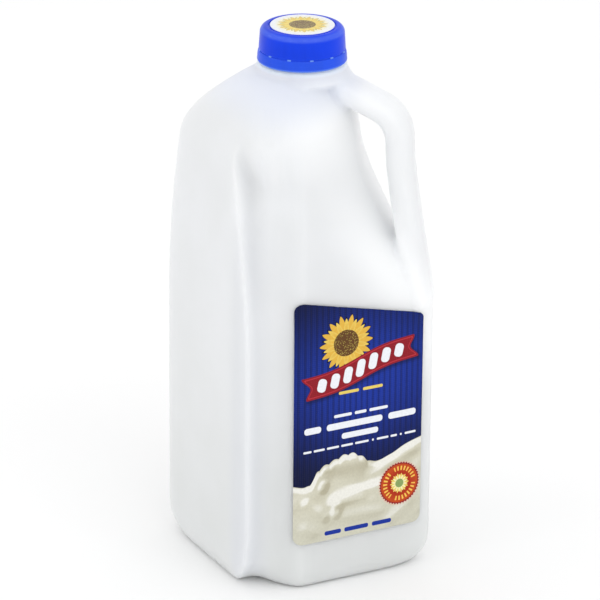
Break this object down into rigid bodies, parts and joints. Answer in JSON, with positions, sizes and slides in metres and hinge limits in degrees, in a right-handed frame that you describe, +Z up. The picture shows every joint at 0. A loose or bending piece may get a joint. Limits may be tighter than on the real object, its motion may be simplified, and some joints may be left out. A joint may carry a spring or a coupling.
{
  "type": "milk jug",
  "caption": "Half gallon milk jug with a hollow corner handle, fluted corners, a screw cap with its seal band, a round cap sticker and a printed label.",
  "frame": {"origin": "on the floor, on the neck's axis, at the middle of the jug's outline seen from above", "axes": "+Z up along the neck, +X towards the handle, the label faces between +X and -Y"},
  "size_m": [0.1308, 0.127, 0.2643],
  "materials": {
    "jug_plastic": "natural milk-white polyethylene with a soft sheen, full of milk",
    "cap_plastic": "bright blue moulded polyethylene, semi-gloss",
    "sticker_paper": "coated paper with a printed flower",
    "label_paper": "semi-gloss printed paper"
  },
  "bodies": {
    "root": {"jug": "jug_plastic", "cap": "cap_plastic", "cap_sticker": "sticker_paper", "label": "label_paper"}
  },
  "joints": []
}
